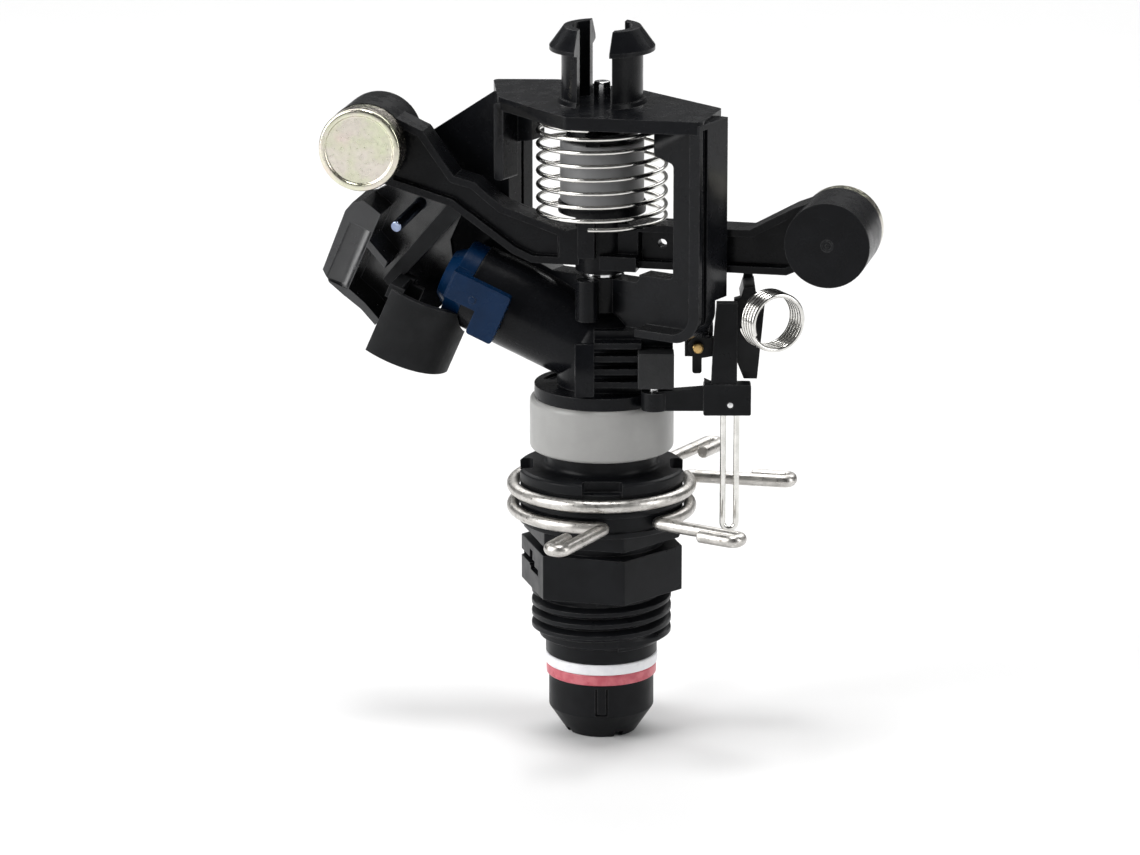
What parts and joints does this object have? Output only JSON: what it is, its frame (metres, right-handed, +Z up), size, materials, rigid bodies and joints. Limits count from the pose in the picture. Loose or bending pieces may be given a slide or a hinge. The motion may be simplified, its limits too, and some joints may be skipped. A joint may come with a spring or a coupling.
{
  "type": "impact sprinkler",
  "caption": "Part-circle impact sprinkler head with a threaded bearing, bridge, sprung impact arm with end weights, trip collars and a trip lever.",
  "frame": {"origin": "on the spin axis at the hex's lower face, where the inlet thread ends", "axes": "+Z up along the spin axis, away from the inlet; -X along the barrel and the impact arm's jet end"},
  "size_m": [0.0841, 0.0545, 0.1095],
  "materials": {
    "black_sleeve": "satin moulded black",
    "black_body": "glossy moulded black",
    "black_arm": "satin moulded black",
    "black_nipple": "satin",
    "cover_grey": "satin light warm grey",
    "bearing_grey": "satin mid grey",
    "nozzle_blue": "satin dark blue",
    "white_plastic": "matt white",
    "red_rubber": "soft rubber",
    "seal_rubber": "matt",
    "collar_wire": "drawn stainless wire, a little worn",
    "spring_steel": "bright drawn stainless wire",
    "pin_steel": "ground",
    "deflector_steel": "blued",
    "plated_steel": "yellow passivated zinc plate",
    "spoon_black": "polished where the jet strikes",
    "bucket_black": "matt, finely textured",
    "lever_black": "satin moulded black",
    "reversing_black": "satin moulded dark grey",
    "brass": "turned"
  },
  "bodies": {
    "base": {"bearing_sleeve": "black_sleeve", "white_washer": "white_plastic"},
    "upper_collar": {"upper_trip_collar": "collar_wire"},
    "lower_collar": {"lower_trip_collar": "collar_wire"},
    "rotor": {"rubber_washer": "red_rubber", "nose_retainer": "black_sleeve", "bearing_nipple": "black_nipple", "bearing_spring": "spring_steel", "bearing_cover": "cover_grey", "bridge_body": "black_body", "latch_strap": "black_body", "nozzle_seal": "seal_rubber", "fulcrum_pin": "pin_steel", "pivot_washer": "pin_steel", "lever_pin": "pin_steel", "reversing_pin": "brass", "arm_spring": "spring_steel"},
    "nozzle": {"nozzle": "nozzle_blue"},
    "arm": {"impact_arm": "black_arm", "arm_bearing": "bearing_grey", "bearing_cap": "black_arm", "left_weight": "plated_steel", "right_weight": "plated_steel", "drive_spoon": "spoon_black", "splash_bucket": "bucket_black", "deflector_pin": "deflector_steel"},
    "trip_lever": {"trip_lever": "lever_black", "trip_pivot": "pin_steel", "trip_spring": "spring_steel"},
    "trip_pin": {"trip_pin": "spring_steel"},
    "reversing_lever": {"reversing_lever": "reversing_black"}
  },
  "joints": [
    {"name": "rotor_turn", "type": "hinge", "parent": "base", "child": "rotor", "pos_m": [0, 0, 0], "axis": [0, 0, 1], "range_deg": [-12, 18]},
    {"name": "upper_collar_turn", "type": "hinge", "parent": "base", "child": "upper_collar", "pos_m": [0, 0, 0.0159], "axis": [0, 0, 1], "range_deg": [0, 200]},
    {"name": "lower_collar_turn", "type": "hinge", "parent": "base", "child": "lower_collar", "pos_m": [0, 0, 0.0126], "axis": [0, 0, 1], "range_deg": [-200, 0]},
    {"name": "arm_swing", "type": "hinge", "parent": "rotor", "child": "arm", "pos_m": [0, 0, 0.055], "axis": [0, 0, 1], "range_deg": [0, 90], "stiffness_Nm_per_rad": 0.002, "springref_deg": -20.05, "deforming": ["arm_spring"]},
    {"name": "nozzle_twist", "type": "hinge", "parent": "rotor", "child": "nozzle", "pos_m": [0, 0, 0.0371], "axis": [-0.9164, 0, 0.4003], "range_deg": [0, 30]},
    {"name": "trip_lever_flip", "type": "hinge", "parent": "rotor", "child": "trip_lever", "pos_m": [0.00973, -0.00777, 0.0315], "axis": [0, 0, 1], "range_deg": [0, 7], "deforming": ["trip_spring"]},
    {"name": "reversing_lever_tip", "type": "hinge", "parent": "rotor", "child": "reversing_lever", "pos_m": [0.01542, -0.00342, 0.0391], "axis": [0.2181, -0.9759, 0], "range_deg": [0, 14]},
    {"name": "trip_pin_lift", "type": "hinge", "parent": "trip_lever", "child": "trip_pin", "pos_m": [0.02082, -0.00559, 0.0311], "axis": [0.2181, -0.9759, 0], "range_deg": [0, 100]}
  ],
  "couplings": [
    {"joint": "reversing_lever_tip", "follows": "trip_lever_flip", "ratio": 2}
  ]
}
